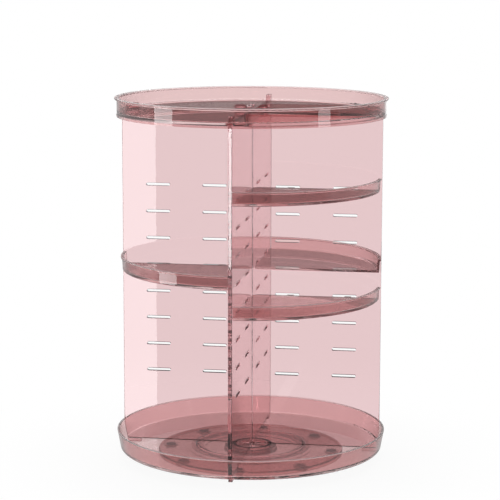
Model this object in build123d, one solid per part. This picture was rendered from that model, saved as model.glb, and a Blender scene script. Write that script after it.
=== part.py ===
from build123d import *
import os

# A see-through organizer that turns on a round foot.
# Sizes are in millimetres. +Z is up and is the axis it turns about, and z = 0 is the table.
# The four upright panels lie along +X, -X, +Y and -Y. The front panel is the one along -Y.

# Foot and its non-slip pads
foot_r = 86.0
foot_height = 3.8
foot_floor = 2.0
foot_wall = 2.0
foot_edge = 0.9
pad_r = 5.0
pad_height = 2.2
pad_recess = 1.0
pad_count = 8
pad_gap = 0.05
pad_cup_wall = 1.4
pad_cup_inset = 1.6

# Ball bearing between the foot and the base tray
race_r = 50.0
race_depth = 0.55
race_gap = 0.1
race_land = 7.0
race_back = 3.0
ball_r = 2.25
ball_count = 16
cage_width = 11.0
cage_height = 1.2
cage_gap = 0.15

# Hub that carries the base tray sideways, and what keeps the foot on it
hub_r = 20.0
hub_wall = 3.0
hub_fit = 0.05
hub_collar = 4.0
hub_collar_rise = 1.6
cap_r = 25.0
cap_thick = 1.2
spigot_wall = 2.4
spigot_height = 3.0
washer_thick = 0.5
washer_inset = 0.6
washer_gap = 0.1

# Base tray
base_foot_r = 121.3
base_rim_r = 124.7
base_height = 18.0
base_floor = 2.4
base_wall = 2.2
base_foot_edge = 2.4
base_rim_edge = 0.7
base_corner = 1.4

# Upright panels
panel_thick = 3.6
panel_height = 309.0
panel_rim_gap = 2.0
panel_core_gap = 0.2
panel_corner = 2.0
panel_edge = 0.5

# Slots in the panels, in two columns
slot_length = 22.5
slot_height = 2.6
slot_inner_r = 34.0
slot_outer_r = 87.0
slot_rows = 8
row_rise = 67.0
row_pitch = 25.0

# Lugs on the panels' bottom and top edges
lug_length = 13.0
lug_inner_length = 11.0
lug_drop = 3.0
lug_rise = 8.2
lug_core_gap = 2.4
lug_round = 2.0
lug_play = 0.2
snap_r = 0.4
snap_drop = 2.6
slit_width = 0.8
slit_depth = 6.0

# Quarter trays
tray_foot_r = 118.5
tray_rim_r = 119.0
tray_height = 12.4
tray_floor = 2.1
tray_wall = 2.0
tray_lip = 1.6
tray_lip_reach = 1.1
tray_edge = 0.4
tray_foot_edge = 1.0
tray_corner = 1.5
tray_apex = 6.0
tray_side_gap = 0.5
tab_thick = 0.8
tab_bite = 2.8
tab_gap = 0.4
tab_end_gap = 1.5
tab_seat_gap = 0.1

# Top tray
top_wall_r = 122.9
top_lip = 1.6
top_lip_reach = 2.1
top_bead = 1.85
top_bead_reach = 0.3
top_bead_drop = 2.05
top_bead_edge = 0.2
top_height = 15.0
top_floor = 2.4
top_wall = 2.2
top_edge = 0.6
top_corner = 1.4
top_seat_gap = 0.1
top_skirt_gap = 0.4

# Brush well in the top tray
well_inset = 10.0
well_rim_gap = 5.2
well_wall = 2.0
well_corner = 8.0
well_rise = 7.5
well_drop = 1.5

# Turns in degrees: panels from +X, and what lies between two panels from the rear right quadrant
panel_turns = {"right_panel": 0, "rear_panel": 90, "left_panel": 180, "front_panel": 270}
tray_turns = {
    "rear_right_tray": 0,
    "front_left_tray": 180,
    "front_right_lower_tray": 270,
    "front_right_upper_tray": 270,
}
well_turn = 270

# The row of slots that holds each quarter tray, counted from 0 at the bottom
tray_rows = {
    "rear_right_tray": 4,
    "front_left_tray": 4,
    "front_right_lower_tray": 3,
    "front_right_upper_tray": 7,
}

# Trays pushed up against the upper side of their slots. The others lie on the lower side.
raised_trays = ("front_left_tray",)

# Heights that follow from the sizes above
foot_bottom = pad_height - pad_recess
foot_top = foot_bottom + foot_height
foot_ceiling = foot_top - foot_floor
ball_z = foot_top - race_depth + race_gap + ball_r
base_bottom = ball_z + ball_r + race_gap - race_depth
base_top = base_bottom + base_floor
base_rim = base_bottom + base_height
cap_top = foot_ceiling - washer_gap - washer_thick
panel_top = base_top + panel_height
top_bottom = panel_top + top_seat_gap
top_top = top_bottom + top_floor
top_rim = top_bottom + top_height

# Radii that follow from the sizes above
flare = (base_rim_r - base_foot_r) / base_height
base_inner_r = base_foot_r - base_wall + flare * base_floor
panel_r = base_rim_r - base_wall - panel_rim_gap
panel_foot_r = base_inner_r - panel_rim_gap
panel_core_r = panel_thick / 2 + panel_core_gap
lug_start = panel_core_r + lug_core_gap
lug_spans = ((lug_start, lug_start + lug_inner_length), (panel_foot_r - lug_length, panel_foot_r))
pad_ring_r = foot_r - foot_wall - pad_cup_inset - pad_cup_wall - pad_r
tray_side = panel_thick / 2 + tray_side_gap
tray_lip_r = tray_rim_r + tray_lip_reach
top_bead_r = top_wall_r + top_bead_reach
top_lip_r = top_wall_r + top_lip_reach
tab_reach = tray_side_gap + tab_bite
tab_length = slot_length / 2 - tab_end_gap - tab_reach - tab_gap


def turned(corners):
    """A solid of revolution from (radius, height, rounding) corners."""
    outline = make_face(Polyline(*[(r, z) for r, z, rounding in corners], close=True))
    for r, z, rounding in corners:
        if rounding:
            corner = outline.vertices().sort_by_distance((r, z, 0))[0]
            outline = fillet(corner, rounding)
    return revolve(Plane.XZ * outline, axis=Axis.Z)


def ring(inner, outer, low, high):
    """A plain flat ring."""
    solid = Pos(0, 0, low) * extrude(Circle(outer), high - low)
    return solid - Pos(0, 0, low) * extrude(Circle(inner), high - low)


def block(x, y, z):
    """A box between two values along each axis."""
    size = (x[1] - x[0], y[1] - y[0], z[1] - z[0])
    return Pos((x[0] + x[1]) / 2, (y[0] + y[1]) / 2, (z[0] + z[1]) / 2) * Box(*size)


def spread(radius, count, z):
    """Places evenly round the axis."""
    return [Rot(0, 0, 360 * i / count) * Pos(radius, 0, z) for i in range(count)]


def patch(x, y):
    """A flat rectangle between two values along each axis."""
    return Pos((x[0] + x[1]) / 2, (y[0] + y[1]) / 2) * Rectangle(x[1] - x[0], y[1] - y[0])


def quadrant(inset, reach):
    """The square between the +X and +Y panels, its near sides an inset from their middle planes."""
    return Pos(inset + reach / 2, inset + reach / 2) * Rectangle(reach, reach)


def lug_slots(width, low, high):
    """Holes for all eight lugs, a play longer than them at each end."""
    slots = []
    for turn in panel_turns.values():
        for near, far in lug_spans:
            hole = block((near - lug_play, far + lug_play), (-width / 2, width / 2), (low, high))
            slots.append(Rot(0, 0, turn) * hole)
    return slots


def foot_plate():
    plate = turned([
        (0, foot_ceiling, 0),
        (foot_r - foot_wall, foot_ceiling, 0),
        (foot_r - foot_wall, foot_bottom, 0),
        (foot_r, foot_bottom, 0),
        (foot_r, foot_top, foot_edge),
        (0, foot_top, 0),
    ])
    plate += ring(race_r - race_land, race_r + race_land, foot_top - race_back, foot_top)
    plate += Pos(0, 0, foot_top) * extrude(Circle(hub_r + hub_collar), hub_collar_rise)
    cup_r = pad_r + pad_gap + pad_cup_wall
    for place in spread(pad_ring_r, pad_count, foot_bottom):
        plate += place * extrude(Circle(cup_r), foot_ceiling - foot_bottom)
        plate -= place * extrude(Circle(pad_r + pad_gap), pad_recess)
    plate -= Pos(0, 0, foot_bottom) * extrude(Circle(hub_r + hub_fit), foot_height + hub_collar_rise)
    return plate - Pos(0, 0, ball_z) * Torus(race_r, ball_r + race_gap)


def foot_pads():
    pad = Pos(0, 0, pad_height / 2) * Cylinder(pad_r, pad_height)
    return [place * pad for place in spread(pad_ring_r, pad_count, 0)]


def bearing_balls():
    return [place * Sphere(ball_r) for place in spread(race_r, ball_count, ball_z)]


def bearing_cage():
    low = ball_z - cage_height / 2
    cage = ring(race_r - cage_width / 2, race_r + cage_width / 2, low, low + cage_height)
    for place in spread(race_r, ball_count, ball_z):
        cage -= place * Cylinder(ball_r + cage_gap, cage_height)
    return cage


def slip_washer():
    return ring(hub_r + washer_gap, cap_r - washer_inset, cap_top, cap_top + washer_thick)


def hub_cap():
    spigot_r = hub_r - hub_wall - hub_fit
    cap = Pos(0, 0, cap_top - cap_thick) * extrude(Circle(cap_r), cap_thick)
    return cap + ring(spigot_r - spigot_wall, spigot_r, cap_top, cap_top + spigot_height)


def base_tray():
    tray = turned([
        (0, base_bottom, 0),
        (base_foot_r, base_bottom, base_foot_edge),
        (base_rim_r, base_rim, base_rim_edge),
        (base_rim_r - base_wall, base_rim, base_rim_edge),
        (base_inner_r, base_top, base_corner),
        (0, base_top, 0),
    ])
    tray += ring(hub_r - hub_wall, hub_r, cap_top, base_bottom)
    tray -= Pos(0, 0, ball_z) * Torus(race_r, ball_r + race_gap)
    for hole in lug_slots(panel_thick + 2 * lug_play, base_bottom, base_top):
        tray -= hole
    return tray


def upright_panel():
    """One panel, along +X. Its outer edge follows the flare of the base tray's wall."""
    outline = make_face(Polyline(
        (panel_core_r, base_top),
        (panel_foot_r, base_top),
        (panel_r, base_rim),
        (panel_r, panel_top),
        (panel_core_r, panel_top),
        close=True,
    ))
    corner = outline.vertices().sort_by_distance((panel_r, panel_top, 0))[0]
    outline = fillet(corner, panel_corner)
    for span in lug_spans:
        outline += patch(span, (base_bottom - lug_drop, base_top))
        crown = patch(span, (panel_top, panel_top + lug_rise))
        outline += fillet(crown.vertices().sort_by(Axis.Y)[-2:], lug_round)
    for r in (slot_inner_r, slot_outer_r):
        for row in range(slot_rows):
            outline -= Pos(r, row_height(row)) * SlotOverall(slot_length, slot_height)
    panel = extrude(Plane.XZ * outline, panel_thick / 2, both=True)
    lug_top = panel_top + lug_rise
    lug_foot = base_bottom - lug_drop
    across = patch((0, panel_r), (-panel_thick / 2, panel_thick / 2))
    across = fillet(across.vertices().sort_by(Axis.X)[-2:], panel_edge)
    panel &= Pos(0, 0, lug_foot) * extrude(across, lug_top - lug_foot)
    for near, far in lug_spans:
        for side in (-1, 1):
            place = Pos((near + far) / 2, side * panel_thick / 2, lug_top - snap_drop) * Rot(0, 90, 0)
            panel += place * Cylinder(snap_r, far - near - 2 * lug_round)
        panel -= block((near, far), (-slit_width / 2, slit_width / 2), (lug_top - slit_depth, lug_top))
    return panel


def row_height(row):
    """The middle of a row of slots."""
    return base_top + row_rise + row * row_pitch


def quarter_tray(row, raised):
    """A tray for the rear right quadrant. Its two sides have no wall: the panels close them."""
    tab_low = row_height(row) - slot_height / 2 + tab_seat_gap
    if raised:
        tab_low = row_height(row) + slot_height / 2 - tab_seat_gap - tab_thick
    top = tab_low + tab_thick
    low = top - tray_floor
    rim = low + tray_height
    disc = turned([
        (0, low, 0),
        (tray_foot_r, low, tray_foot_edge),
        (tray_rim_r, rim - tray_lip, tray_edge),
        (tray_lip_r, rim - tray_lip, tray_edge),
        (tray_lip_r, rim, tray_edge),
        (tray_rim_r - tray_wall, rim, tray_edge),
        (tray_foot_r - tray_wall, top, tray_corner),
        (0, top, 0),
    ])
    sector = quadrant(tray_side, tray_lip_r)
    apex = sector.vertices().sort_by_distance((0, 0, 0))[0]
    tray = disc & (Pos(0, 0, low) * extrude(fillet(apex, tray_apex), tray_height))
    first = tab_end_gap
    second = first + tab_length + tab_reach + tab_gap
    across = (tray_side - tab_reach, tray_side)
    for r in (slot_inner_r, slot_outer_r):
        start = r - slot_length / 2
        along_first = (start + first, start + first + tab_length)
        along_second = (start + second, start + second + tab_length)
        tray += block(along_first, across, (tab_low, top))
        tray += block(across, along_second, (tab_low, top))
    return tray


def well_outline(grow):
    """The brush well seen from above, for the rear right quadrant, widened by a wall's thickness."""
    radius = top_wall_r - top_wall - well_rim_gap - well_wall + grow
    inset = well_inset + well_wall - grow
    shape = Circle(radius) & quadrant(inset, radius)
    return fillet(shape.vertices(), well_corner - well_wall + grow)


def top_tray():
    tray = turned([
        (0, top_bottom, 0),
        (panel_r + top_skirt_gap, top_bottom, 0),
        (panel_r + top_skirt_gap, top_bottom - top_bead_drop, 0),
        (top_bead_r, top_bottom - top_bead_drop, top_bead_edge),
        (top_bead_r, top_bottom - top_bead_drop + top_bead, top_bead_edge),
        (top_wall_r, top_bottom - top_bead_drop + top_bead, 0),
        (top_wall_r, top_rim - top_lip, top_edge),
        (top_lip_r, top_rim - top_lip, top_edge),
        (top_lip_r, top_rim, top_edge),
        (top_wall_r - top_wall, top_rim, top_edge),
        (top_wall_r - top_wall, top_top, top_corner),
        (0, top_top, 0),
    ])
    low = top_bottom - well_drop
    collar_height = well_drop + top_floor + well_rise
    place = Rot(0, 0, well_turn) * Pos(0, 0, low)
    tray += place * extrude(well_outline(well_wall), collar_height)
    tray -= place * extrude(well_outline(0), collar_height)
    for hole in lug_slots(panel_thick + 2 * snap_r + 2 * lug_play, top_bottom, top_top):
        tray -= hole
    return tray


def save(name, solids):
    export_step(Compound(label=name, children=list(solids)), os.path.join("parts", name + ".step"))


os.makedirs("parts", exist_ok=True)
save("foot_plate", [foot_plate()])
save("foot_pads", foot_pads())
save("bearing_balls", bearing_balls())
save("bearing_cage", [bearing_cage()])
save("slip_washer", [slip_washer()])
save("hub_cap", [hub_cap()])
save("base_tray", [base_tray()])
save("top_tray", [top_tray()])
for panel_name, turn in panel_turns.items():
    save(panel_name, [Rot(0, 0, turn) * upright_panel()])
for tray_name, turn in tray_turns.items():
    tray = quarter_tray(tray_rows[tray_name], tray_name in raised_trays)
    save(tray_name, [Rot(0, 0, turn) * tray])
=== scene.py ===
import math
import bpy
from mathutils import Matrix, Vector

# Materials, camera and studio for a rotating organizer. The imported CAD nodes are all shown, and no
# piece is added. Lengths are in metres and angles in degrees.

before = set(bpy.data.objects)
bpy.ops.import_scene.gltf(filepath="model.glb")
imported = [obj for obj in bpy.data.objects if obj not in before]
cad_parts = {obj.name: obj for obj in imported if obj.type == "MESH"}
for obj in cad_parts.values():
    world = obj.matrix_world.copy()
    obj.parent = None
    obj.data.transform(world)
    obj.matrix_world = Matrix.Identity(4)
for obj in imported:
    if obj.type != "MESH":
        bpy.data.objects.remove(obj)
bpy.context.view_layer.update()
scene = bpy.context.scene

# Camera. It stands at a turn from the front, a distance and a height, measured from the object's
# middle on the table. Yaw is how far it looks past the object's axis.
camera_turn = 8.722
camera_distance = 1.774174
camera_height = 0.4859
camera_pitch = 9.357
camera_yaw = 0.034
camera_roll = 0.127
camera_lens = 140.25
camera_sensor = 36
camera_clip = (0.05, 100)

# Studio. A strength of 1 shows as white. Seen straight or through the plastic, the table and the
# backdrop are white. Reflections show a white sheet low behind the object, a dimmer room at its
# sides, in front of it and above the sheet, a bright ceiling, and a window high behind the object.
room_light = 0.4
dim_front = 0.14
dim_side = 0.48
dim_above = 0.155
bright_ceiling = 1.0
bright_window = 1.6

# Where the parts of the studio begin and end. Each change is soft, between two values: of x over y
# for the sheet's sides, of y for the front and for the window's side, and of z for the rest. Here
# x, y and z are those of a direction, or of a place on the table. The least depth is the least y
# that x is divided by.
front_end = (-0.45, -0.15)
sheet_left = (-0.46, -0.34)
sheet_right = (0.2, 0.3)
least_depth = 0.02
sheet_top = (0.03, 0.08)
ceiling_start = (0.22, 0.34)
window_bottom = (0.44, 0.48)
window_top = (0.68, 0.72)
window_side = (0.3, 0.35)

# Table. Within its shadow's reach it is partly real paint, which keeps the object's shadow.
table_half = 14
table_paint = (0.86, 0.86, 0.86)
shadow_reach = (0.10, 0.30)
white_in_shadow = 0.93

# Plastic. A tint is what a wall lets through. Polish is roughness, from clear spots to cloudy ones.
plastic_ior = 1.5
polish = (0.004, 0.02)
cloud_scale = 45
cloud_detail = 6
cloud_span = (0.35, 0.75)
wave_scale = 26
wave_detail = 1
wave_strength = 0.12
wave_height = 0.0003
smoky_pink = (0.838, 0.615, 0.629)
smoky_rose = (0.83, 0.592, 0.59)
foot_rose = (0.77, 0.5, 0.5)
pale_pink = (0.93, 0.82, 0.83)

# Edges. A tray's rim is its topmost millimetre, as a share of its height. Its pale tint is a painted
# highlight, on a rougher, less clear surface. A panel's edges are its faces that look outward,
# inward, up or down, by how far they do.
rim_span = (0.955, 0.985)
rim_highlight_tint = (0.96, 0.82, 0.82)
panel_edge_span = (0.4, 0.8)
panel_edge_tint = (0.84, 0.56, 0.58)

# Rubber.
rubber_colour = (0.9, 0.84, 0.84)
rubber_shade = 0.88
rubber_clear = 0.92
rubber_ior = 1.42
rubber_rough = (0.5, 0.72)
grain_scale = 900
grain_detail = 4
grain_span = (0.3, 0.7)
grain_strength = 0.3
grain_height = 0.0001


def new_material(name):
    """A node material with no nodes yet, and its tree."""
    material = bpy.data.materials.new(name)
    material.use_nodes = True
    material.node_tree.nodes.clear()
    return material, material.node_tree


def feed(tree, socket, value):
    """Sets a socket to a number, or links another socket to it."""
    if isinstance(value, (int, float)):
        socket.default_value = value
    else:
        tree.links.new(value, socket)


def math_node(tree, operation, *values):
    """A Math node on sockets or numbers."""
    node = tree.nodes.new("ShaderNodeMath")
    node.operation = operation
    for i, value in enumerate(values):
        feed(tree, node.inputs[i], value)
    return node.outputs[0]


def ramp(tree, value, span, at_low=0.0, at_high=1.0):
    """at_low where value is below the span, at_high above it, smooth between."""
    node = tree.nodes.new("ShaderNodeMapRange")
    node.interpolation_type = "SMOOTHSTEP"
    node.inputs["From Min"].default_value = span[0]
    node.inputs["From Max"].default_value = span[1]
    node.inputs["To Min"].default_value = at_low
    node.inputs["To Max"].default_value = at_high
    tree.links.new(value, node.inputs["Value"])
    return node.outputs["Result"]


def between(tree, value, first, last):
    """1 from the first span to the last, 0 before and after them, smooth within them."""
    return math_node(tree, "MULTIPLY", ramp(tree, value, first), ramp(tree, value, last, 1, 0))


def blend(tree, factor, first, second):
    """first where factor is 0, second where it is 1."""
    node = tree.nodes.new("ShaderNodeMix")
    feed(tree, node.inputs["Factor"], factor)
    feed(tree, node.inputs["A"], first)
    feed(tree, node.inputs["B"], second)
    return node.outputs["Result"]


def blend_colours(tree, factor, first, second):
    """The colour first where factor is 0, second where it is 1."""
    factor_in, first_in, second_in, colour_out = 0, 6, 7, 2     # a colour mix's own sockets
    node = tree.nodes.new("ShaderNodeMix")
    node.data_type = "RGBA"
    node.inputs[first_in].default_value = (*first, 1)
    node.inputs[second_in].default_value = (*second, 1)
    tree.links.new(factor, node.inputs[factor_in])
    return node.outputs[colour_out]


def noise(tree, place, scale, detail):
    """Random values that change smoothly over an object. The scale is in spots per metre."""
    node = tree.nodes.new("ShaderNodeTexNoise")
    node.inputs["Scale"].default_value = scale
    node.inputs["Detail"].default_value = detail
    tree.links.new(place.outputs["Object"], node.inputs["Vector"])
    return node.outputs["Fac"]


def sight(tree):
    """Two numbers, 1 or 0: whether a ray is seen straight or through any plastic, and whether it is
    mirrored. Both are 0 for a ray that lights a matt surface."""
    above_none = 0.5
    path = tree.nodes.new("ShaderNodeLightPath")
    clean = math_node(tree, "LESS_THAN", path.outputs["Diffuse Depth"], above_none)
    plain = math_node(tree, "LESS_THAN", path.outputs["Glossy Depth"], above_none)
    straight = math_node(tree, "MAXIMUM", path.outputs["Is Camera Ray"],
                         path.outputs["Is Transmission Ray"])
    straight = math_node(tree, "MULTIPLY", straight, plain)
    mirrored = math_node(tree, "SUBTRACT", 1, plain)
    return (math_node(tree, "MULTIPLY", straight, clean),
            math_node(tree, "MULTIPLY", mirrored, clean))


def make_camera():
    turn = math.radians(camera_turn)
    heading = math.radians(camera_turn + camera_yaw)
    pitch = math.radians(camera_pitch)
    roll = math.radians(camera_roll)
    forward = Vector((-math.sin(heading) * math.cos(pitch),
                      math.cos(heading) * math.cos(pitch),
                      -math.sin(pitch)))
    level = Vector((math.cos(heading), math.sin(heading), 0))
    upright = level.cross(forward)
    right = level * math.cos(roll) + upright * math.sin(roll)
    up = upright * math.cos(roll) - level * math.sin(roll)
    place = Vector((math.sin(turn) * camera_distance,
                    -math.cos(turn) * camera_distance,
                    camera_height))
    data = bpy.data.cameras.new("camera")
    data.lens = camera_lens
    data.sensor_width = camera_sensor
    data.clip_start, data.clip_end = camera_clip
    camera = bpy.data.objects.new("camera", data)
    scene.collection.objects.link(camera)
    axes = Matrix((right, up, -forward)).transposed().to_4x4()
    camera.matrix_world = Matrix.Translation(place) @ axes
    scene.camera = camera


def backdrop(tree, axes):
    """How bright the low backdrop is in a direction, or the table at a place: dim in front of the
    object and at its sides, white behind it as the camera looks."""
    depth = math_node(tree, "MAXIMUM", axes.outputs["Y"], least_depth)
    across = math_node(tree, "DIVIDE", axes.outputs["X"], depth)
    behind = blend(tree, between(tree, across, sheet_left, sheet_right), dim_side, 1.0)
    return blend(tree, ramp(tree, axes.outputs["Y"], front_end), dim_front, behind)


def make_world():
    """White for the camera and through the plastic. In reflections it is the studio."""
    world = bpy.data.worlds.new("studio")
    scene.world = world
    world.use_nodes = True
    tree = world.node_tree
    tree.nodes.clear()
    straight, mirrored = sight(tree)
    place = tree.nodes.new("ShaderNodeTexCoord")
    axes = tree.nodes.new("ShaderNodeSeparateXYZ")
    tree.links.new(place.outputs["Generated"], axes.inputs[0])
    height = axes.outputs["Z"]
    low = backdrop(tree, axes)
    high = ramp(tree, height, ceiling_start, dim_above, bright_ceiling)
    window = math_node(tree, "MULTIPLY", between(tree, height, window_bottom, window_top),
                       ramp(tree, axes.outputs["Y"], window_side))
    high = blend(tree, window, high, bright_window)
    studio = blend(tree, ramp(tree, height, sheet_top), low, high)
    level = blend(tree, mirrored, room_light, studio)
    level = blend(tree, straight, level, 1.0)
    light = tree.nodes.new("ShaderNodeBackground")
    light.inputs["Color"].default_value = (1, 1, 1, 1)
    tree.links.new(level, light.inputs["Strength"])
    out = tree.nodes.new("ShaderNodeOutputWorld")
    tree.links.new(light.outputs[0], out.inputs[0])


def make_floor():
    """A white table that keeps a faint shadow. In reflections it is dim in front of the object."""
    mesh = bpy.data.meshes.new("floor")
    mesh.from_pydata([(-table_half, -table_half, 0), (table_half, -table_half, 0),
                      (table_half, table_half, 0), (-table_half, table_half, 0)],
                     [], [(0, 1, 2, 3)])
    floor = bpy.data.objects.new("floor", mesh)
    scene.collection.objects.link(floor)
    material, tree = new_material("floor_paint")
    geometry = tree.nodes.new("ShaderNodeNewGeometry")
    axes = tree.nodes.new("ShaderNodeSeparateXYZ")
    tree.links.new(geometry.outputs["Position"], axes.inputs[0])
    far = tree.nodes.new("ShaderNodeVectorMath")
    far.operation = "LENGTH"
    tree.links.new(geometry.outputs["Position"], far.inputs[0])
    straight, mirrored = sight(tree)
    seen = math_node(tree, "MAXIMUM", straight, mirrored)
    paint = tree.nodes.new("ShaderNodeBsdfDiffuse")
    paint.inputs["Color"].default_value = (*table_paint, 1)
    white = tree.nodes.new("ShaderNodeEmission")
    studio = backdrop(tree, axes)
    tree.links.new(blend(tree, straight, studio, 1.0), white.inputs["Strength"])
    fade = ramp(tree, far.outputs["Value"], shadow_reach, white_in_shadow, 1)
    mix = tree.nodes.new("ShaderNodeMixShader")
    tree.links.new(math_node(tree, "MULTIPLY", fade, seen), mix.inputs[0])
    tree.links.new(paint.outputs[0], mix.inputs[1])
    tree.links.new(white.outputs[0], mix.inputs[2])
    out = tree.nodes.new("ShaderNodeOutputMaterial")
    tree.links.new(mix.outputs[0], out.inputs["Surface"])
    mesh.materials.append(material)


def around(angle, distance, height):
    """A place at an angle from the front, towards the right as seen from there."""
    turn = math.radians(angle)
    return (math.sin(turn) * distance, -math.cos(turn) * distance, height)


def softbox(name, place, target, width, height, strength):
    """A flat lamp at place that faces target and shows with this strength in reflections."""
    data = bpy.data.lights.new(name, "AREA")
    data.shape = "RECTANGLE"
    data.size = width
    data.size_y = height
    data.energy = strength * math.pi * width * height
    lamp = bpy.data.objects.new(name, data)
    scene.collection.objects.link(lamp)
    lamp.location = place
    lamp.rotation_euler = (Vector(target) - Vector(place)).to_track_quat("-Z", "Y").to_euler()
    lamp.visible_camera = False
    lamp.visible_transmission = False
    return lamp


def lights_only(lamp, node):
    """Keeps a lamp off everything but one node."""
    lit = bpy.data.collections.new(lamp.name + "_lit")
    lit.objects.link(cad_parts[node])
    lamp.light_linking.receiver_collection = lit


def panel_edges(tree, place):
    """0 on the broad sides of a panel, 1 on its ends, on its top and bottom and in its slots."""
    spot = tree.nodes.new("ShaderNodeVectorMath")
    spot.operation = "MULTIPLY"
    spot.inputs[1].default_value = (1, 1, 0)
    tree.links.new(place.outputs["Object"], spot.inputs[0])
    outward = tree.nodes.new("ShaderNodeVectorMath")
    outward.operation = "NORMALIZE"
    tree.links.new(spot.outputs[0], outward.inputs[0])
    along = tree.nodes.new("ShaderNodeVectorMath")
    along.operation = "DOT_PRODUCT"
    tree.links.new(outward.outputs[0], along.inputs[0])
    tree.links.new(place.outputs["Normal"], along.inputs[1])
    upward = tree.nodes.new("ShaderNodeSeparateXYZ")
    tree.links.new(place.outputs["Normal"], upward.inputs[0])
    facing = math_node(tree, "MAXIMUM", math_node(tree, "ABSOLUTE", along.outputs["Value"]),
                       math_node(tree, "ABSOLUTE", upward.outputs["Z"]))
    return ramp(tree, facing, panel_edge_span)


def painted_rim_highlight(tree, place):
    """1 on a tray's rim, which is rougher and carries a pale tint as a painted highlight, and 0
    below it.
    """
    height = tree.nodes.new("ShaderNodeSeparateXYZ")
    tree.links.new(place.outputs["Generated"], height.inputs[0])
    return ramp(tree, height.outputs["Z"], rim_span)


def close_material(tree, shader, height, strength, distance):
    """Gives a shader its bump and links it to the material's output."""
    bump = tree.nodes.new("ShaderNodeBump")
    bump.inputs["Strength"].default_value = strength
    bump.inputs["Distance"].default_value = distance
    tree.links.new(height, bump.inputs["Height"])
    tree.links.new(bump.outputs["Normal"], shader.inputs["Normal"])
    out = tree.nodes.new("ShaderNodeOutputMaterial")
    tree.links.new(shader.outputs[0], out.inputs["Surface"])


def clear_plastic(name, tint, edge=None, edge_tint=None, edge_rough=None, edge_clear=None):
    """Clear tinted plastic with faint clouds in its gloss and slight waves. edge is the function
    that finds the edges, and the last three are their tint, roughness and clearness."""
    material, tree = new_material(name)
    shader = tree.nodes.new("ShaderNodeBsdfPrincipled")
    shader.inputs["IOR"].default_value = plastic_ior
    place = tree.nodes.new("ShaderNodeTexCoord")
    gloss = ramp(tree, noise(tree, place, cloud_scale, cloud_detail), cloud_span, *polish)
    if edge:
        on_edge = edge(tree, place)
        tree.links.new(blend_colours(tree, on_edge, tint, edge_tint), shader.inputs["Base Color"])
        gloss = blend(tree, on_edge, gloss, edge_rough)
        clear = ramp(tree, on_edge, (0, 1), 1, edge_clear)
        tree.links.new(clear, shader.inputs["Transmission Weight"])
    else:
        shader.inputs["Base Color"].default_value = (*tint, 1)
        shader.inputs["Transmission Weight"].default_value = 1
    tree.links.new(gloss, shader.inputs["Roughness"])
    waves = noise(tree, place, wave_scale, wave_detail)
    close_material(tree, shader, waves, wave_strength, wave_height)
    return material


def rubber(name):
    """Milky soft rubber with a fine moulded grain."""
    material, tree = new_material(name)
    shader = tree.nodes.new("ShaderNodeBsdfPrincipled")
    shader.inputs["Transmission Weight"].default_value = rubber_clear
    shader.inputs["IOR"].default_value = rubber_ior
    place = tree.nodes.new("ShaderNodeTexCoord")
    grain = noise(tree, place, grain_scale, grain_detail)
    shaded = [part * rubber_shade for part in rubber_colour]
    colour = blend_colours(tree, grain, shaded, rubber_colour)
    tree.links.new(colour, shader.inputs["Base Color"])
    tree.links.new(ramp(tree, grain, grain_span, *rubber_rough), shader.inputs["Roughness"])
    close_material(tree, shader, grain, grain_strength, grain_height)
    return material


make_camera()
make_world()
make_floor()

# The first two lamps show as pale boxes on the trays' walls. They end low, so that the top tray's
# floor doesn't mirror them. Each strip shows on one panel. The last two lamps are large and soft.
softbox("softbox_left", around(-64.2, 0.7, 0.165), target=(0, 0, 0.165),
        width=0.228, height=0.29, strength=6)
softbox("softbox_right", around(66.8, 0.7, 0.29), target=(0, 0, 0.29),
        width=0.134, height=0.08, strength=4)
strip = softbox("strip_left", (-0.1445, -0.12, 0.5), target=(-0.1445, 0, 0.5),
                width=0.063, height=1.0, strength=4.6)
lights_only(strip, "left_panel")
strip = softbox("strip_front", (-0.12, -0.85, 0.16), target=(0, -0.1, 0.16),
                width=0.11, height=0.18, strength=14)
lights_only(strip, "front_panel")
softbox("softbox_top", (0, 0.2, 1.8), target=(0, 0, 0.1), width=1.2, height=1.2, strength=3.5)
softbox("softbox_back", (0, 1.4, 1.15), target=(0, 0, 0.15), width=3.2, height=0.5, strength=1.2)

looks = {
    # The trays' rims are rougher and less clear, and their pale tint is a painted highlight.
    "tray_plastic": clear_plastic("tray_plastic", smoky_rose, painted_rim_highlight, rim_highlight_tint,
                                  edge_rough=0.3, edge_clear=0.68),
    "panel_plastic": clear_plastic("panel_plastic", smoky_pink, panel_edges, panel_edge_tint,
                                   edge_rough=0.06, edge_clear=0.95),
    "foot_plastic": clear_plastic("foot_plastic", foot_rose),
    "bearing_plastic": clear_plastic("bearing_plastic", pale_pink),
    "pad_rubber": rubber("pad_rubber"),
}
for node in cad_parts.values():
    for slot in node.material_slots:
        slot.material = looks[slot.material.name.split(".")[0]]

scene.view_settings.view_transform = "Standard"

# Light passes many walls of clear plastic.
scene.cycles.max_bounces = 40
scene.cycles.transmission_bounces = 40
scene.cycles.glossy_bounces = 16
scene.cycles.transparent_max_bounces = 40
